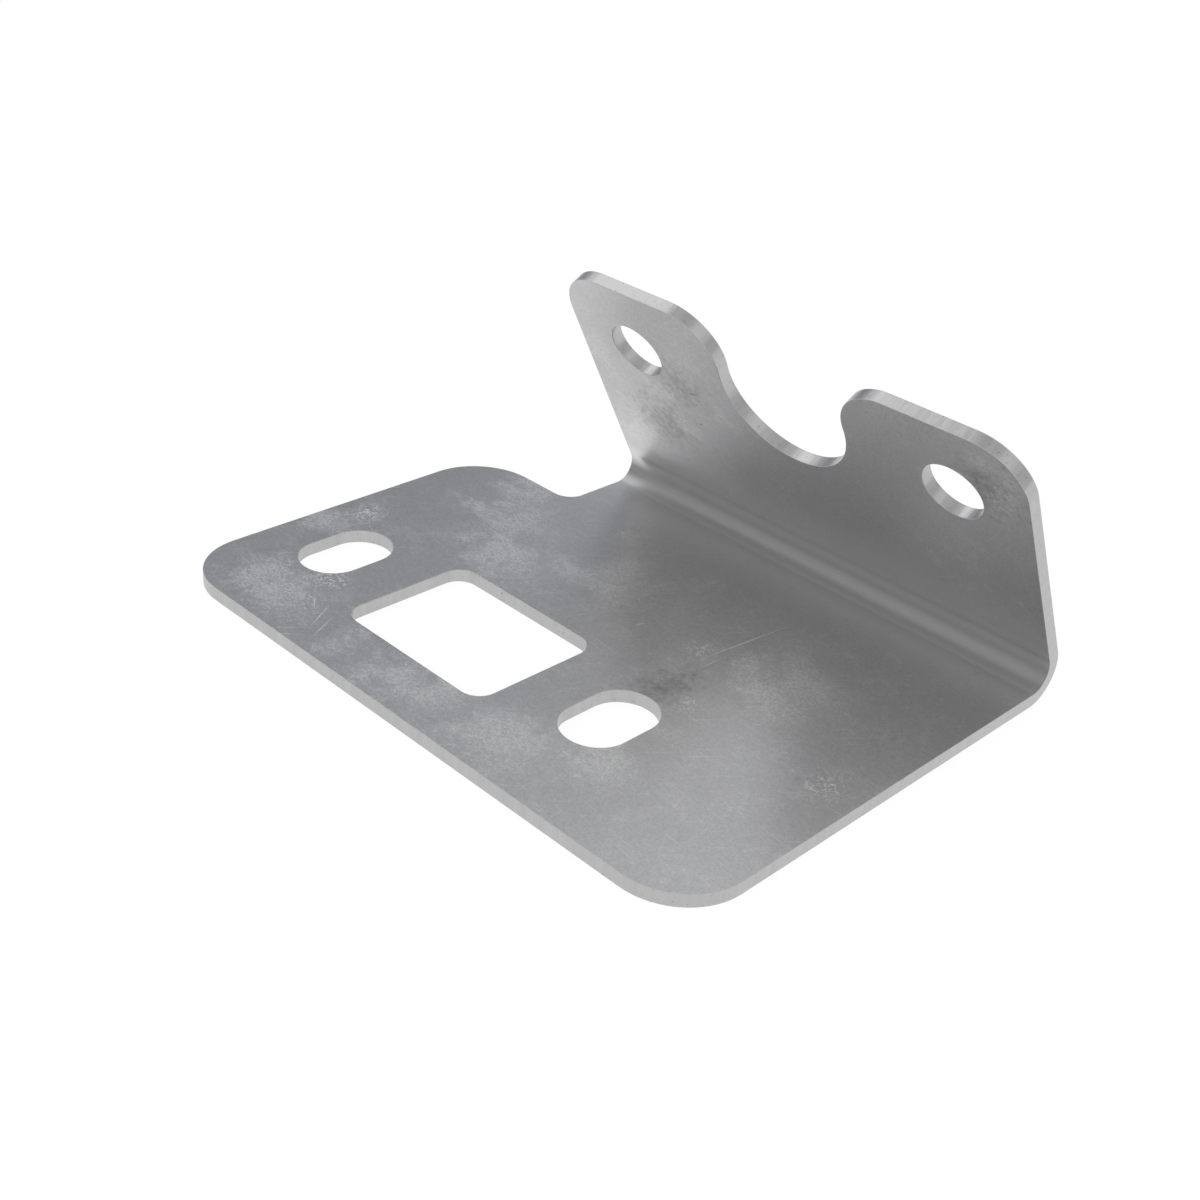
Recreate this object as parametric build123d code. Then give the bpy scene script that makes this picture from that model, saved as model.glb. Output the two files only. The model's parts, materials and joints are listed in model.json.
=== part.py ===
from build123d import *

import os
from math import radians, tan

# A stamped bracket: one blank cut from steel sheet, then folded once. Millimetres and degrees.
# The base plate lies flat, with a window between two slots. The flange is folded up past
# upright, so it leans back over the base plate, and ends in two lugs with a notch between them.
# Origin: on the underside, at the centre of the window and the slots.
# X runs along the fold, the front edge is at -Y, and the flange stands on the +Z side.

# Sheet and fold
sheet_thickness = 2.0
inside_bend_radius = 3.0
fold_turn = 120.0  # how far the flange is turned up from the base plate's plane

# Base plate. The sharp line is where the two outside faces would meet if they ran on.
flange_width = 80.0
ear_width = 20.0  # the ear stands out past the flange on the -X side only
ear_depth = 60.0  # from the front edge to the ear's back edge
neck_depth = 20.0  # from the ear's back edge to the sharp line
base_corner_radius = 10.0
relief_radius = 3.0  # inside corner between the ear and the neck

# Window and slots
window_width = 28.0
window_depth = 22.0
window_corner_radius = 3.0
slot_width = 10.0
slot_travel = 5.0  # between the centres of a slot's two round ends, front to back
slot_spacing = 55.0
pattern_from_left = 40.0  # from the ear's left edge to the window's centre
pattern_from_front = 21.2  # from the front edge to the window's centre

# Flange
flange_length = 50.0  # from the sharp line to the top edge, up the outside face
lug_corner_radius = 8.0
notch_radius = 11.0
notch_centre_drop = 10.0  # from the top edge down to the notch's centre
lug_hole_diameter = 9.5
lug_hole_inset = 12.0  # from a lug's side edge and from its top edge to its hole's centre

# Places that follow from those sizes
left = -pattern_from_left
neck_left = left + ear_width
right = neck_left + flange_width
flange_centre = (neck_left + right) / 2

outside_bend_radius = inside_bend_radius + sheet_thickness
bend_setback = outside_bend_radius * tan(radians(fold_turn / 2))  # sharp line to the bend's ends
front = -pattern_from_front
ear_back = front + ear_depth
bend_start = ear_back + neck_depth - bend_setback
flange_top = bend_start + flange_length - bend_setback  # before folding, with no bend between

fold_axis = Axis((0, bend_start, outside_bend_radius), (1, 0, 0))


def base_plate():
    """The flat plate from the front edge to the start of the bend."""
    outline = FilletPolyline(
        (left, front),
        (right, front),
        (right, bend_start),
        (neck_left, bend_start),
        (neck_left, ear_back),
        (left, ear_back),
        radius=[base_corner_radius, base_corner_radius, 0, 0, relief_radius, base_corner_radius],
        close=True,
    )
    window = RectangleRounded(window_width, window_depth, window_corner_radius)
    slots = GridLocations(slot_spacing, 0, 2, 1) * SlotCenterToCenter(slot_travel, slot_width, rotation=90)
    return extrude(make_face(outline) - window - slots, sheet_thickness)


def bend():
    """The curved strip between the base plate and the flange."""
    section = Plane.XZ * Rectangle(flange_width, sheet_thickness)
    return revolve(Pos(flange_centre, bend_start, sheet_thickness / 2) * section, fold_axis, fold_turn)


def flange():
    """The two lugs and the notch, drawn flat behind the base plate and then folded up."""
    outline = FilletPolyline(
        (neck_left, bend_start),
        (right, bend_start),
        (right, flange_top),
        (neck_left, flange_top),
        radius=[0, 0, lug_corner_radius, lug_corner_radius],
        close=True,
    )
    notch = Pos(flange_centre, flange_top - notch_centre_drop) * Circle(notch_radius)
    blank = make_face(outline) - notch
    notch_mouth = blank.vertices().sort_by_distance((flange_centre, flange_top))[:2]
    blank = fillet(notch_mouth, lug_corner_radius)
    for hole_x in (neck_left + lug_hole_inset, right - lug_hole_inset):
        blank -= Pos(hole_x, flange_top - lug_hole_inset) * Circle(lug_hole_diameter / 2)
    return extrude(blank, sheet_thickness).rotate(fold_axis, fold_turn)


bracket = base_plate() + bend() + flange()

os.makedirs("parts", exist_ok=True)
export_step(bracket, "parts/bracket.step")
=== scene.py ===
import json
import math

import bmesh
import bpy
from mathutils import Matrix, Vector


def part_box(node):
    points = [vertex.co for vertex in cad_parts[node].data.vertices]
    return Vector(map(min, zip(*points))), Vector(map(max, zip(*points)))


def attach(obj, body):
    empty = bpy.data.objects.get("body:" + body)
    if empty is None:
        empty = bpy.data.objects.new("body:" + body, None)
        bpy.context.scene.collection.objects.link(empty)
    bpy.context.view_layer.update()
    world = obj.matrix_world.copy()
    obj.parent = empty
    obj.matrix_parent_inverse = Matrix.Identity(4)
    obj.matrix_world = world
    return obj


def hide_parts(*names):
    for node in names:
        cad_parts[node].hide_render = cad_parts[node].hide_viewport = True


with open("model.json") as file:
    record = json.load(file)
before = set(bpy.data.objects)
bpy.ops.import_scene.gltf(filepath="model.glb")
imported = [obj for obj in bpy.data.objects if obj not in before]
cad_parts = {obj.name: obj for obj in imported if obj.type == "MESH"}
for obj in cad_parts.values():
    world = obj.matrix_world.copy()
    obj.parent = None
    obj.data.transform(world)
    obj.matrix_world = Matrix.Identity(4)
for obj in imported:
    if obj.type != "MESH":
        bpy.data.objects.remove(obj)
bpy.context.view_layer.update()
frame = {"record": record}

# A stamped bracket: a blank is sheared from 2 mm steel sheet and folded once on a press brake.
# The blank is drawn flat in millimetres, given its thickness and folded, and its sharp edges are
# broken last. Every point keeps its place on the flat blank, so that the grain, smudges and
# scratches of the sheet run round the fold with the metal.

# Sheet and fold, in millimetres and radians
sheet_thickness = 2.0
inside_bend_radius = 3.0
fold_turn = math.radians(120)
neutral_depth = 0.42  # share of the thickness, from the inside, where a bend keeps its length
outside_bend_radius = inside_bend_radius + sheet_thickness
bend_allowance = (inside_bend_radius + neutral_depth * sheet_thickness) * fold_turn
bend_setback = outside_bend_radius * math.tan(fold_turn / 2)  # from the sharp line to the bend's ends
deburr = 0.08

# Base plate, placed by the overall size of the part. The sharp line is where the two outside
# faces would meet if they ran on.
low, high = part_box("bracket")
left = low.x * 1000
right = high.x * 1000
front = low.y * 1000
ear_width = 20.0
ear_depth = 60.0
base_depth = 80.0  # from the front edge to the sharp line
neck_left = left + ear_width
ear_back = front + ear_depth
bend_start = front + base_depth - bend_setback
bend_end = bend_start + bend_allowance
base_corner = 10.0
relief = 3.0  # inside corner between the ear and the neck

# Window and slots
window_size = (28.0, 22.0)
window_corner = 3.0
mounts = {mount["name"]: mount for mount in frame["record"]["mounts"]}
slots = [mounts["left_slot"], mounts["right_slot"]]

# Flange
flange_length = 50.0  # from the sharp line to the top edge
flange_centre = (neck_left + right) / 2
flange_top = bend_end + flange_length - bend_setback
lug_corner = 8.0
notch_radius = 11.0
notch_drop = 10.0  # from the top edge down to the notch's centre
lug_hole_inset = 12.0  # from a lug's side edge and from its top edge to its hole's centre
lug_hole_radius = mounts["lug_holes"]["dims"]["hole_r_mm"]

# How finely the round cuts and the bend are made, in degrees
arc_step = 5
fold_step = 4


# ---- the blank ----

def cut_to(blank, end, x, y):
    """A straight cut from the end of the outline so far."""
    corner = blank.verts.new((x, y, 0))
    blank.edges.new((end, corner))
    return corner


def cut_round(blank, end, x, y, degrees):
    """A round cut about a centre, anticlockwise where degrees is positive."""
    swept = bmesh.ops.spin(
        blank,
        geom=[end],
        cent=(x, y, 0),
        axis=(0, 0, 1),
        angle=math.radians(degrees),
        steps=math.ceil(abs(degrees) / arc_step),
        use_duplicate=False,
    )
    return swept["geom_last"][0]


def cut_outline(blank):
    """The outside of the blank, anticlockwise from the front edge, with the notch between the lugs."""
    lug_to_notch = math.sqrt((notch_radius + lug_corner) ** 2 - (notch_drop - lug_corner) ** 2)
    mouth_turn = 90 + math.degrees(math.asin((notch_drop - lug_corner) / (notch_radius + lug_corner)))
    start = blank.verts.new((left + base_corner, front, 0))
    end = cut_to(blank, start, right - base_corner, front)
    end = cut_round(blank, end, right - base_corner, front + base_corner, 90)
    end = cut_to(blank, end, right, flange_top - lug_corner)
    end = cut_round(blank, end, right - lug_corner, flange_top - lug_corner, 90)
    end = cut_to(blank, end, flange_centre + lug_to_notch, flange_top)
    end = cut_round(blank, end, flange_centre + lug_to_notch, flange_top - lug_corner, mouth_turn)
    end = cut_round(blank, end, flange_centre, flange_top - notch_drop, -2 * mouth_turn)
    end = cut_round(blank, end, flange_centre - lug_to_notch, flange_top - lug_corner, mouth_turn)
    end = cut_to(blank, end, neck_left + lug_corner, flange_top)
    end = cut_round(blank, end, neck_left + lug_corner, flange_top - lug_corner, 90)
    end = cut_to(blank, end, neck_left, ear_back + relief)
    end = cut_round(blank, end, neck_left - relief, ear_back + relief, -90)
    end = cut_to(blank, end, left + base_corner, ear_back)
    end = cut_round(blank, end, left + base_corner, ear_back - base_corner, 90)
    end = cut_to(blank, end, left, front + base_corner)
    cut_round(blank, end, left + base_corner, front + base_corner, 90)


def punch_window(blank):
    """The window, with its four small corners."""
    across = window_size[0] / 2
    along = window_size[1] / 2
    inner_across = across - window_corner
    inner_along = along - window_corner
    end = blank.verts.new((across, -inner_along, 0))
    end = cut_to(blank, end, across, inner_along)
    end = cut_round(blank, end, inner_across, inner_along, 90)
    end = cut_to(blank, end, -inner_across, along)
    end = cut_round(blank, end, -inner_across, inner_along, 90)
    end = cut_to(blank, end, -across, -inner_along)
    end = cut_round(blank, end, -inner_across, -inner_along, 90)
    end = cut_to(blank, end, inner_across, -along)
    cut_round(blank, end, inner_across, -inner_along, 90)


def punch_slot(blank, slot):
    """A slot with two round ends, one behind the other."""
    x = slot["pos_m"][0] * 1000
    y = slot["pos_m"][1] * 1000
    radius = slot["dims"]["hole_r_mm"]
    reach = slot["dims"]["slot_length_mm"] / 2 - radius
    end = blank.verts.new((x + radius, y - reach, 0))
    end = cut_to(blank, end, x + radius, y + reach)
    end = cut_round(blank, end, x, y + reach, 180)
    end = cut_to(blank, end, x - radius, y - reach)
    cut_round(blank, end, x, y - reach, 180)


def punch_lug_hole(blank, x):
    """A round hole near the top of a lug."""
    centre = Matrix.Translation((x, flange_top - lug_hole_inset, 0))
    bmesh.ops.create_circle(blank, segments=360 // arc_step, radius=lug_hole_radius, matrix=centre)


def cut_blank():
    """The flat blank: its outline and holes, filled and given the thickness of the sheet."""
    blank = bmesh.new()
    cut_outline(blank)
    punch_window(blank)
    for slot in slots:
        punch_slot(blank, slot)
    punch_lug_hole(blank, neck_left + lug_hole_inset)
    punch_lug_hole(blank, right - lug_hole_inset)
    bmesh.ops.remove_doubles(blank, verts=blank.verts[:], dist=0.001)
    bmesh.ops.triangle_fill(blank, use_beauty=True, edges=blank.edges[:], normal=(0, 0, 1))
    inner_edges = [edge for edge in blank.edges if len(edge.link_faces) == 2]
    bmesh.ops.dissolve_limit(blank, angle_limit=0.01, verts=blank.verts[:], edges=inner_edges)
    raised = bmesh.ops.extrude_face_region(blank, geom=blank.faces[:])
    top = [item for item in raised["geom"] if isinstance(item, bmesh.types.BMVert)]
    bmesh.ops.translate(blank, verts=top, vec=(0, 0, sheet_thickness))
    bmesh.ops.recalc_face_normals(blank, faces=blank.faces[:])
    return blank


def is_wall(face):
    """Whether a face of the flat blank is part of its sheared edge."""
    return abs(face.normal.z) < 0.5


def score_bend(blank):
    """Cuts the strip that will bend into narrow bands."""
    bands = round(math.degrees(fold_turn) / fold_step)
    for band in range(bands + 1):
        y = bend_start + bend_allowance * band / bands
        everything = blank.verts[:] + blank.edges[:] + blank.faces[:]
        bmesh.ops.bisect_plane(
            blank, geom=everything, dist=0.0001, plane_co=(0, y, 0), plane_no=(0, 1, 0)
        )


def fold(point):
    """Where a point of the flat blank lies once the flange is folded up."""
    past = point.y - bend_start
    if past <= 0:
        return point.copy()
    turned = min(past / bend_allowance, 1) * fold_turn
    beyond = max(past - bend_allowance, 0)
    radius = outside_bend_radius - point.z
    y = bend_start + radius * math.sin(turned) + beyond * math.cos(turned)
    z = outside_bend_radius - radius * math.cos(turned) + beyond * math.sin(turned)
    return Vector((point.x, y, z))


def folded_sheet():
    """The whole bracket as one piece of folded sheet, in metres, with its sharp edges broken."""
    blank = cut_blank()
    score_bend(blank)
    for face in blank.faces:
        face.smooth = True
        face.material_index = 1 if is_wall(face) else 0
    flat_place = blank.verts.layers.float_vector.new("blank")
    for vert in blank.verts:
        vert[flat_place] = vert.co
        vert.co = fold(vert.co)
    bmesh.ops.scale(blank, vec=(0.001, 0.001, 0.001), verts=blank.verts[:])
    mesh = bpy.data.meshes.new("folded_sheet")
    blank.to_mesh(mesh)
    blank.free()
    piece = bpy.data.objects.new("folded_sheet", mesh)
    bpy.context.scene.collection.objects.link(piece)
    edge_break = piece.modifiers.new("deburred edges", "BEVEL")
    edge_break.width = deburr / 1000
    edge_break.segments = 2
    edge_break.limit_method = "ANGLE"
    edge_break.angle_limit = math.radians(40)
    edge_break.harden_normals = True
    return piece


# ---- marks ----

# Ovals on the inside face: x, y, half length, half width and turn of each on the blank
hazes = [
    (-21, 29, 14, 9, -55),
    (-27, 36, 9, 5, 0),
    (-12, 18, 12, 8, -15),
    (-36, 4, 6, 9, 0),
    (-24, -14, 13, 9, 0),
    (2, -16, 17, 8, 0),
    (9, -14, 8, 8, 0),
    (22, -13, 12, 9, 0),
    (33, -8, 8, 8, 0),
    (2, 24, 11, 10, 0),
    (37, 25, 14, 10, -20),
    (-15, bend_end + 10, 7, 9, 30),
    (-17, bend_end + 24, 6, 9, 0),
    (-2.5, bend_end + 16, 6, 3.5, -30),
    (6, bend_end + 21, 4.5, 4, 0),
    (56, bend_end + 34, 6, 8, 0),
]
stains = [
    (-8, bend_end + 15, 13, 11, 30),
    (-2, bend_end + 26, 10, 10, 0),
    (54, bend_end + 33, 10, 9, 0),
    (27, 12, 6, 10, 0),
]
wiped_clean = [
    (-30, 18, 7, 9, -30),
    (-17, 2, 5, 11, 0),
    (-31, -2, 5, 3, 0),
    (-36, 26, 5, 9, 0),
    (-12, -12, 5, 3, 0),
    (22, 50, 48, 15, 0),
    (30, bend_end + 22, 22, 26, 0),
]
scuffs = [
    (54.5, 10.8, 3.8, 6.2, 0),
    (-35, 10.5, 4.2, 5.6, 10),
    (31.5, 10.3, 2.6, 3.2, 0),
    (23.5, 21.5, 3.4, 4.4, 20),
    (-22, -7, 5, 4, 0),
]
scratches = [
    (26.3, 28.6, 12.0, 0.18, 83.5),
    (26.9, 20.5, 2.4, 0.12, 88),
    (-15.2, -14, 4.5, 0.11, -62),
    (-12.6, -15.5, 4.0, 0.1, -66),
    (-18.5, -12.5, 2.2, 0.1, -40),
    (13.7, 20.2, 1.2, 0.2, 70),
]
nicks = [
    (1.5, bend_end + 24.7, 1.2, 0.2, 20),
    (1.6, bend_end + 22.4, 0.5, 0.16, 60),
    (1.2, bend_end + 18.0, 0.5, 0.2, 30),
]


# ---- finishes ----

def from_hex(colour):
    """A six-digit sRGB colour as linear red, green, blue and alpha."""
    channels = [int(colour[place:place + 2], 16) / 255 for place in (1, 3, 5)]
    linear = [c / 12.92 if c <= 0.04045 else ((c + 0.055) / 1.055) ** 2.4 for c in channels]
    return (*linear, 1)


def add(tree, kind, inputs=None, **settings):
    """Adds a node with its own settings. An input takes a value, another node or a node's socket.

    A Mix node's colours are its inputs 6 and 7 and its output 2.
    """
    node = tree.nodes.new(kind)
    for name, setting in settings.items():
        setattr(node, name, setting)
    for name, source in (inputs or {}).items():
        if isinstance(source, bpy.types.Node):
            tree.links.new(source.outputs[0], node.inputs[name])
        elif isinstance(source, bpy.types.NodeSocket):
            tree.links.new(source, node.inputs[name])
        else:
            node.inputs[name].default_value = source
    return node


def new_material(name):
    """An empty material and its node tree."""
    material = bpy.data.materials.new(name)
    material.use_nodes = True
    material.node_tree.nodes.clear()
    return material, material.node_tree


def on_the_blank(tree):
    """Where a point of the surface lay on the flat blank, in millimetres, so 1 / a size is its scale."""
    place = add(tree, "ShaderNodeAttribute", attribute_type="GEOMETRY", attribute_name="blank")
    return place.outputs["Vector"]


def oval_marks(tree, place, marks):
    """1 in the middle of each oval mark on the inside face, and 0 from its rim outwards."""
    laid = None
    for x, y, half_length, half_width, turn in marks:
        centred = add(
            tree,
            "ShaderNodeMapping",
            {
                "Vector": place,
                "Location": (x, y, sheet_thickness),
                "Rotation": (0, 0, math.radians(turn)),
                "Scale": (half_length, half_width, 1),
            },
            vector_type="TEXTURE",
        )
        away = add(tree, "ShaderNodeVectorMath", {0: centred}, operation="LENGTH")
        mark = add(
            tree,
            "ShaderNodeMapRange",
            {"Value": away.outputs["Value"], "From Min": 1, "From Max": 0},
            interpolation_type="SMOOTHSTEP",
        )
        laid = add(tree, "ShaderNodeMath", {0: laid, 1: mark}, operation="MAXIMUM") if laid else mark
    return laid


def handling_haze(tree, place, spread):
    """The dull film that hands and wiping leave, with clean metal between.

    It lies in wandering clouds, finely mottled and flecked, and streaked in two directions.
    """
    cloud_size = 7.0
    mottle_size = 0.9
    fleck_size = 0.35
    wipe_size = (2.5, 0.25, 1)
    stray = 16.0  # a cloud's rim wanders by up to half of this

    drift = add(
        tree,
        "ShaderNodeTexNoise",
        {"Vector": spread, "Scale": 1 / cloud_size, "Detail": 4, "Roughness": 0.6},
    )
    drift = add(
        tree,
        "ShaderNodeVectorMath",
        {0: drift.outputs["Color"], 1: (0.5, 0.5, 0.5)},
        operation="SUBTRACT",
    )
    drift = add(tree, "ShaderNodeVectorMath", {0: drift, 1: (stray, stray, 0)}, operation="MULTIPLY")
    drifted = add(tree, "ShaderNodeVectorMath", {0: place, 1: drift}, operation="ADD")
    handled = oval_marks(tree, drifted, hazes)
    wiped = oval_marks(tree, drifted, wiped_clean)
    mottle = add(
        tree,
        "ShaderNodeTexNoise",
        {"Vector": spread, "Scale": 1 / mottle_size, "Detail": 3, "Roughness": 0.9},
    )
    layers = [(handled, 0.26), (wiped, -0.2), (mottle, 0.55)]
    for turn in (25, -30):
        along = add(
            tree,
            "ShaderNodeMapping",
            {"Vector": spread, "Rotation": (0, 0, math.radians(turn)), "Scale": wipe_size},
            vector_type="TEXTURE",
        )
        wipe = add(
            tree,
            "ShaderNodeTexNoise",
            {"Vector": along, "Scale": 1, "Detail": 3, "Roughness": 0.7},
        )
        layers.append((wipe, 0.22))
    cloud = add(
        tree,
        "ShaderNodeTexNoise",
        {"Vector": spread, "Scale": 1 / cloud_size, "Detail": 8, "Roughness": 0.8},
    )
    for layer, weight in layers:
        cloud = add(tree, "ShaderNodeMath", {0: layer, 1: weight, 2: cloud}, operation="MULTIPLY_ADD")
    veil = add(
        tree,
        "ShaderNodeMapRange",
        {"Value": cloud, "From Min": 0.94, "From Max": 1.37},
        interpolation_type="SMOOTHSTEP",
    )
    flecks = add(
        tree,
        "ShaderNodeTexNoise",
        {"Vector": spread, "Scale": 1 / fleck_size, "Detail": 2, "Roughness": 0.8},
    )
    flecks = add(
        tree,
        "ShaderNodeMapRange",
        {"Value": flecks, "From Min": 0.36, "From Max": 0.64, "To Min": 0.1, "To Max": 1.5},
    )
    return add(tree, "ShaderNodeMath", {0: veil, 1: flecks}, operation="MULTIPLY", use_clamp=True)


def grey_stains(tree, place, spread):
    """Fine grey mottling, mostly on the left lug."""
    mottle_size = 1.2
    stained = oval_marks(tree, place, stains)
    cloud = add(
        tree,
        "ShaderNodeTexNoise",
        {"Vector": spread, "Scale": 1 / mottle_size, "Detail": 5, "Roughness": 0.85},
    )
    cloud = add(tree, "ShaderNodeMath", {0: stained, 1: 0.24, 2: cloud}, operation="MULTIPLY_ADD")
    return add(
        tree,
        "ShaderNodeMapRange",
        {"Value": cloud, "From Min": 0.54, "From Max": 0.85},
        interpolation_type="SMOOTHSTEP",
    )


def flaked_marks(tree, place, spread):
    """Small dried or scuffed places, made of thin pale lines that wander and break off."""
    loop_size = 1.5
    break_size = 0.7
    wander = add(
        tree,
        "ShaderNodeTexNoise",
        {"Vector": spread, "Scale": 1 / loop_size, "Detail": 3, "Roughness": 0.6, "Distortion": 1.5},
    )
    from_line = add(tree, "ShaderNodeMath", {0: wander, 1: 0.5}, operation="SUBTRACT")
    from_line = add(tree, "ShaderNodeMath", {0: from_line}, operation="ABSOLUTE")
    line = add(
        tree,
        "ShaderNodeMapRange",
        {"Value": from_line, "From Min": 0.06, "From Max": 0.0},
        interpolation_type="SMOOTHSTEP",
    )
    broken = add(
        tree,
        "ShaderNodeTexNoise",
        {"Vector": spread, "Scale": 1 / break_size, "Detail": 2, "Roughness": 0.6},
    )
    broken = add(
        tree,
        "ShaderNodeMapRange",
        {"Value": broken, "From Min": 0.42, "From Max": 0.55},
        interpolation_type="SMOOTHSTEP",
    )
    for part in (broken, oval_marks(tree, place, scuffs)):
        line = add(tree, "ShaderNodeMath", {0: line, 1: part}, operation="MULTIPLY")
    return add(tree, "ShaderNodeMath", {0: line, 1: 1.3}, operation="MULTIPLY", use_clamp=True)


def hairlines(tree, place):
    """Hairline scratches in two directions, several millimetres long, fainter from the ear to the fold.

    Real ones are finer. They are drawn about 0.15 mm wide, so that they show.
    """
    line_size = (9, 0.3, 1)
    fade_length = 12.0
    laid = None
    for turn, shift in ((-6, 0.0), (52, 40.0)):
        along = add(
            tree,
            "ShaderNodeMapping",
            {
                "Vector": place,
                "Location": (shift, 0, 0),
                "Rotation": (0, 0, math.radians(turn)),
                "Scale": line_size,
            },
            vector_type="TEXTURE",
        )
        grain = add(
            tree,
            "ShaderNodeTexNoise",
            {"Vector": along, "Scale": 1, "Detail": 1, "Roughness": 0.4},
        )
        line = add(
            tree,
            "ShaderNodeMapRange",
            {"Value": grain, "From Min": 0.67, "From Max": 0.78},
            interpolation_type="SMOOTHSTEP",
        )
        laid = add(tree, "ShaderNodeMath", {0: laid, 1: line}, operation="MAXIMUM") if laid else line
    depth = add(tree, "ShaderNodeSeparateXYZ", {0: place}).outputs["Y"]
    strength = add(
        tree,
        "ShaderNodeMapRange",
        {
            "Value": depth,
            "From Min": ear_back - fade_length,
            "From Max": ear_back,
            "To Min": 0.36,
            "To Max": 0.1,
        },
    )
    return add(tree, "ShaderNodeMath", {0: laid, 1: strength}, operation="MULTIPLY")


def worn_bright(tree, place, spread):
    """All the marks that are paler than the sheet: scuffs, scratches and hairlines."""
    worn = flaked_marks(tree, place, spread)
    for marks in (oval_marks(tree, place, scratches), hairlines(tree, place)):
        worn = add(tree, "ShaderNodeMath", {0: worn, 1: marks}, operation="MAXIMUM")
    return worn


def strip_along_bend(tree, depth, middle, outer, inner):
    """1 within an inner distance of a line along the bend, and 0 past the outer one."""
    away = add(tree, "ShaderNodeMath", {0: depth, 1: middle}, operation="SUBTRACT")
    away = add(tree, "ShaderNodeMath", {0: away}, operation="ABSOLUTE")
    return add(
        tree,
        "ShaderNodeMapRange",
        {"Value": away, "From Min": outer, "From Max": inner},
        interpolation_type="SMOOTHSTEP",
    )


def bend_marks_and_shade(tree, place):
    """What folding left: sheet burnished around the bend, a rubbed strip along it, and painted shade.

    The rubbed strip is pale, and dull except at the bend's left end. The painted shade darkens
    the inside of the bend, on the inside face only.
    """
    half_bend = bend_allowance / 2
    rub_middle = bend_start + bend_allowance * 0.6
    # the middle of the painted shade inside the bend
    crease_shade_middle = bend_start + bend_allowance * 0.465
    burnish_reach = 18.0
    rub_rim = 2.5
    # how far the painted shade inside the bend reaches
    crease_shade_outer = half_bend + 0.25
    crease_shade_inner = half_bend - 2.85
    bright_end = 1.0  # from the flange's left end
    dull_from = 7.0

    where = add(tree, "ShaderNodeSeparateXYZ", {0: place})
    depth = where.outputs["Y"]
    burnished = strip_along_bend(tree, depth, rub_middle, burnish_reach, half_bend)
    rubbed = strip_along_bend(tree, depth, rub_middle, half_bend + rub_rim, half_bend)
    inward = add(
        tree,
        "ShaderNodeMapRange",
        {
            "Value": where.outputs["X"],
            "From Min": neck_left + bright_end,
            "From Max": neck_left + dull_from,
        },
        interpolation_type="SMOOTHSTEP",
    )
    dulled = add(tree, "ShaderNodeMath", {0: rubbed, 1: inward}, operation="MULTIPLY")
    # painted shade: a darker tone across the inside of the bend, kept to the inside face below
    crease_shade = strip_along_bend(tree, depth, crease_shade_middle, crease_shade_outer, crease_shade_inner)
    crease_shade = add(
        tree,
        "ShaderNodeMapRange",
        {"Value": where.outputs["Z"], "From Min": 1.0, "From Max": 1.9, "To Max": crease_shade},
    )
    return burnished, rubbed, dulled, crease_shade


def mill_finish_steel():
    """Bare cold-rolled sheet: satin and cool grey, with duller, mottled clouds where it was handled."""
    material, tree = new_material("mill_finish_steel")
    place = on_the_blank(tree)
    # The two faces lie 2 mm apart on the blank. Stretched apart, they don't share a pattern.
    spread = add(tree, "ShaderNodeMapping", {"Vector": place, "Scale": (1, 1, 8)})
    haze = handling_haze(tree, place, spread)
    stain = grey_stains(tree, place, spread)
    worn = worn_bright(tree, place, spread)
    # the last of these is painted shade inside the bend
    burnished, rubbed, dulled, crease_shade = bend_marks_and_shade(tree, place)
    nicked = oval_marks(tree, place, nicks)
    nicked = add(tree, "ShaderNodeMapRange", {"Value": nicked, "From Min": 0.1, "From Max": 0.5})

    # The real rolling grain is too fine to show, and is drawn as coarse as it needs to be
    grain_size = 0.3
    grain = add(
        tree,
        "ShaderNodeTexNoise",
        {"Vector": spread, "Scale": 1 / grain_size, "Detail": 2, "Roughness": 0.7},
    )
    grain = add(tree, "ShaderNodeMapRange", {"Value": grain, "From Min": 0.3, "From Max": 0.7})

    roughness = add(tree, "ShaderNodeMapRange", {"Value": grain, "To Min": 0.29, "To Max": 0.32})
    for mark, rougher in ((haze, 0.1), (worn, 0.2), (dulled, 0.18)):
        roughness = add(
            tree,
            "ShaderNodeMath",
            {0: mark, 1: rougher, 2: roughness},
            operation="MULTIPLY_ADD",
        )

    tone = add(
        tree,
        "ShaderNodeMix",
        {0: grain, 6: from_hex("#B5B5B6"), 7: from_hex("#C9C9CA")},
        data_type="RGBA",
    )
    for mark, colour in (
        (burnished, "#C7C7C8"),
        (stain, "#9B9B9B"),
        (haze, "#D9D9D9"),
        (rubbed, "#D4D4D5"),
        # painted shade: darker inside the bend
        (crease_shade, "#9C9C9D"),
        (worn, "#E9E9E8"),
        (nicked, "#8C8986"),
    ):
        tone = add(
            tree,
            "ShaderNodeMix",
            {0: mark, 6: tone.outputs[2], 7: from_hex(colour)},
            data_type="RGBA",
        )
    metal = add(
        tree,
        "ShaderNodeBsdfPrincipled",
        {"Metallic": 1.0, "Base Color": tone.outputs[2], "Roughness": roughness},
    )
    add(tree, "ShaderNodeOutputMaterial", {"Surface": metal})
    return material


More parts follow.
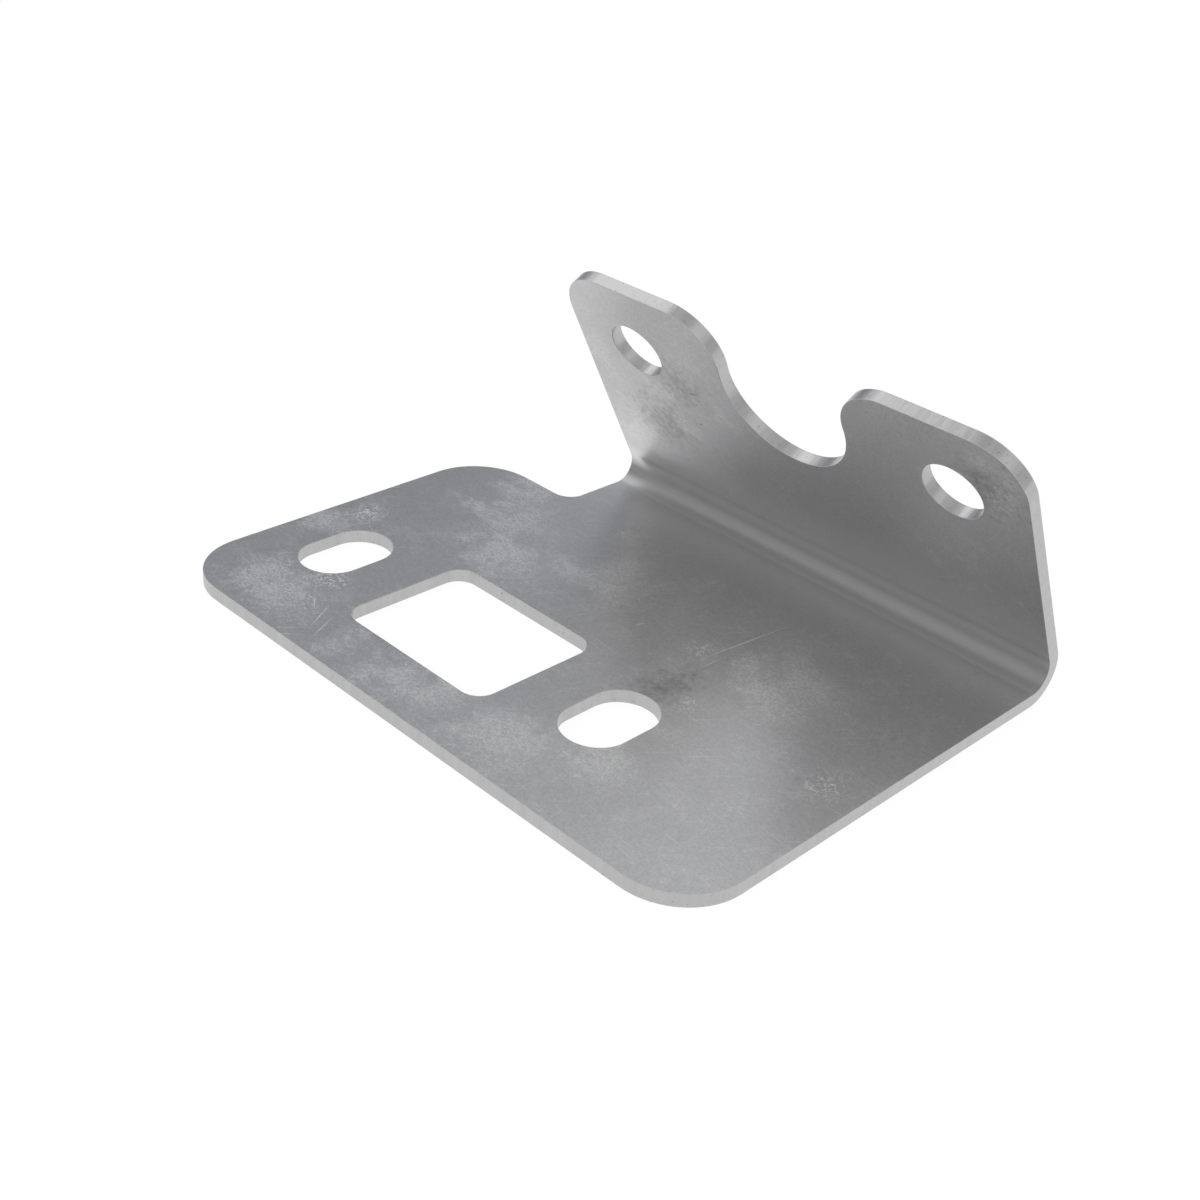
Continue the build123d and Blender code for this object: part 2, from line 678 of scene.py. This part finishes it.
def sheared_edge():
    """The cut walls: a little warmer than the faces, streaked through the thickness and pitted."""
    material, tree = new_material("sheared_steel_edge")
    streak_size = 1.1
    pit_size = 0.4
    ripple_height = 0.00006  # metres
    place = on_the_blank(tree)
    through = add(tree, "ShaderNodeMapping", {"Vector": place, "Scale": (1, 1, 0.1)})
    streak = add(
        tree,
        "ShaderNodeTexNoise",
        {"Vector": through, "Scale": 1 / streak_size, "Detail": 3, "Roughness": 0.6},
    )
    roughness = add(
        tree,
        "ShaderNodeMapRange",
        {"Value": streak, "From Min": 0.3, "From Max": 0.7, "To Min": 0.29, "To Max": 0.36},
    )
    pit = add(
        tree,
        "ShaderNodeTexNoise",
        {"Vector": place, "Scale": 1 / pit_size, "Detail": 2, "Roughness": 0.5},
    )
    pitted = add(
        tree,
        "ShaderNodeMapRange",
        {"Value": pit, "From Min": 0.66, "From Max": 0.74},
        interpolation_type="SMOOTHSTEP",
    )
    streaked = add(tree, "ShaderNodeMapRange", {"Value": streak, "From Min": 0.3, "From Max": 0.7})
    tone = add(
        tree,
        "ShaderNodeMix",
        {0: streaked, 6: from_hex("#B6B5B5"), 7: from_hex("#C0BFBF")},
        data_type="RGBA",
    )
    tone = add(
        tree,
        "ShaderNodeMix",
        {0: pitted, 6: tone.outputs[2], 7: from_hex("#96938F")},
        data_type="RGBA",
    )
    ripple = add(tree, "ShaderNodeBump", {"Height": streak, "Strength": 1.0, "Distance": ripple_height})
    metal = add(
        tree,
        "ShaderNodeBsdfPrincipled",
        {"Metallic": 1.0, "Base Color": tone.outputs[2], "Roughness": roughness, "Normal": ripple},
    )
    add(tree, "ShaderNodeOutputMaterial", {"Surface": metal})
    return material


# ---- studio, in metres ----

# Azimuth and elevation of the middle of each, how far from there it is full, and where it has
# faded out, all in degrees
left_back_card = (154, 16, 12, 40)
left_front_card = (220, 11, 14, 46)
right_card = (14, 14, 8, 34)
left_lamp = (185, 39, 12, 32)


def pale_floor():
    """A wide white floor. It shows the camera and the metal a white sheet, and keeps a faint shadow."""
    reach = 6
    gap = 0.00005
    white_share = 0.9  # of what the floor shows; the rest is plain paper, with the shadow on it
    white_strength = 1.04  # a little over white, to make up for the paper's share
    mesh = bpy.data.meshes.new("floor")
    ground = bmesh.new()
    bmesh.ops.create_grid(ground, x_segments=1, y_segments=1, size=reach)
    bmesh.ops.translate(ground, verts=ground.verts[:], vec=(0, 0, -gap))
    ground.to_mesh(mesh)
    ground.free()
    floor = bpy.data.objects.new("floor", mesh)
    bpy.context.scene.collection.objects.link(floor)
    material, tree = new_material("white_paper")
    ray = add(tree, "ShaderNodeLightPath")
    seen = ray.outputs["Is Camera Ray"]
    for other in ("Is Glossy Ray", "Is Transmission Ray"):
        seen = add(tree, "ShaderNodeMath", {0: seen, 1: ray.outputs[other]}, operation="MAXIMUM")
    share = add(tree, "ShaderNodeMath", {0: seen, 1: white_share}, operation="MULTIPLY")
    paper = add(tree, "ShaderNodeBsdfDiffuse", {"Color": from_hex("#F0F0F0")})
    white = add(tree, "ShaderNodeEmission", {"Color": from_hex("#FFFFFF"), "Strength": white_strength})
    mix = add(tree, "ShaderNodeMixShader", {0: share, 1: paper, 2: white})
    add(tree, "ShaderNodeOutputMaterial", {"Surface": mix})
    mesh.materials.append(material)


def part_of_studio(tree, way, azimuth, elevation, inner, outer):
    """1 within an inner angle of a direction of the studio, and 0 past the outer one, in degrees."""
    turn = math.radians(azimuth)
    rise = math.radians(elevation)
    middle = (math.cos(turn) * math.cos(rise), math.sin(turn) * math.cos(rise), math.sin(rise))
    facing = add(tree, "ShaderNodeVectorMath", {0: way, 1: middle}, operation="DOT_PRODUCT")
    return add(
        tree,
        "ShaderNodeMapRange",
        {
            "Value": facing.outputs["Value"],
            "From Min": math.cos(math.radians(outer)),
            "From Max": math.cos(math.radians(inner)),
        },
        interpolation_type="SMOOTHSTEP",
    )


def studio_light():
    """An even pale studio, dimmer overhead, with grey cards low at the left and right and a soft lamp."""
    card_shade = 0.62
    lamp_strength = 0.64
    world = bpy.data.worlds.new("studio")
    world.use_nodes = True
    bpy.context.scene.world = world
    tree = world.node_tree
    tree.nodes.clear()
    way = add(tree, "ShaderNodeTexCoord").outputs["Generated"]
    height = add(tree, "ShaderNodeSeparateXYZ", {0: way}).outputs["Z"]
    level = add(
        tree,
        "ShaderNodeMapRange",
        {"Value": height, "From Min": 0.76, "From Max": 0.96, "To Min": 0.98, "To Max": 0.62},
        interpolation_type="SMOOTHSTEP",
    )
    for card in (left_front_card, right_card):
        shaded = part_of_studio(tree, way, *card)
        shaded = add(tree, "ShaderNodeMapRange", {"Value": shaded, "To Min": 1.0, "To Max": card_shade})
        level = add(tree, "ShaderNodeMath", {0: level, 1: shaded}, operation="MULTIPLY")
    colour = add(
        tree,
        "ShaderNodeMix",
        {0: part_of_studio(tree, way, *left_back_card), 6: from_hex("#FFFFFF"), 7: from_hex("#94979D")},
        data_type="RGBA",
    )
    colour = add(tree, "ShaderNodeVectorMath", {0: colour.outputs[2], "Scale": level}, operation="SCALE")
    glow = part_of_studio(tree, way, *left_lamp)
    glow = add(tree, "ShaderNodeMath", {0: glow, 1: lamp_strength}, operation="MULTIPLY")
    colour = add(tree, "ShaderNodeVectorMath", {0: colour, 1: glow}, operation="ADD")
    ray = add(tree, "ShaderNodeLightPath")
    colour = add(
        tree,
        "ShaderNodeMix",
        {0: ray.outputs["Is Camera Ray"], 6: colour, 7: from_hex("#FFFFFF")},
        data_type="RGBA",
    )
    background = add(tree, "ShaderNodeBackground", {"Color": colour.outputs[2], "Strength": 1.0})
    add(tree, "ShaderNodeOutputWorld", {"Surface": background})


def camera():
    """The camera, from the front right and above, and tilted a little."""
    turn = math.radians(41.9425)
    rise = math.radians(30.2326)
    tilt = math.radians(5.6503)
    aim = Vector((0.0032041, 0.0229393, 0))
    distance = 0.2451676
    back = Vector((math.sin(turn) * math.cos(rise), -math.cos(turn) * math.cos(rise), math.sin(rise)))
    across = (-back).cross(Vector((0, 0, 1))).normalized()
    up = across.cross(-back)
    x_axis = math.cos(tilt) * across + math.sin(tilt) * up
    y_axis = math.cos(tilt) * up - math.sin(tilt) * across
    viewer = bpy.data.objects.new("camera", bpy.data.cameras.new("camera"))
    viewer.data.lens = 50
    viewer.data.sensor_width = 36
    viewer.data.clip_start = 0.01
    place = Matrix((x_axis, y_axis, back)).transposed().to_4x4()
    place.translation = aim + back * distance
    viewer.matrix_world = place
    bpy.context.scene.collection.objects.link(viewer)
    bpy.context.scene.camera = viewer


sheet = folded_sheet()
sheet.data.materials.append(mill_finish_steel())
sheet.data.materials.append(sheared_edge())
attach(sheet, "root")
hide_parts("bracket")
pale_floor()
studio_light()
camera()
bpy.context.scene.view_settings.view_transform = "Standard"

bpy.context.view_layer.update()
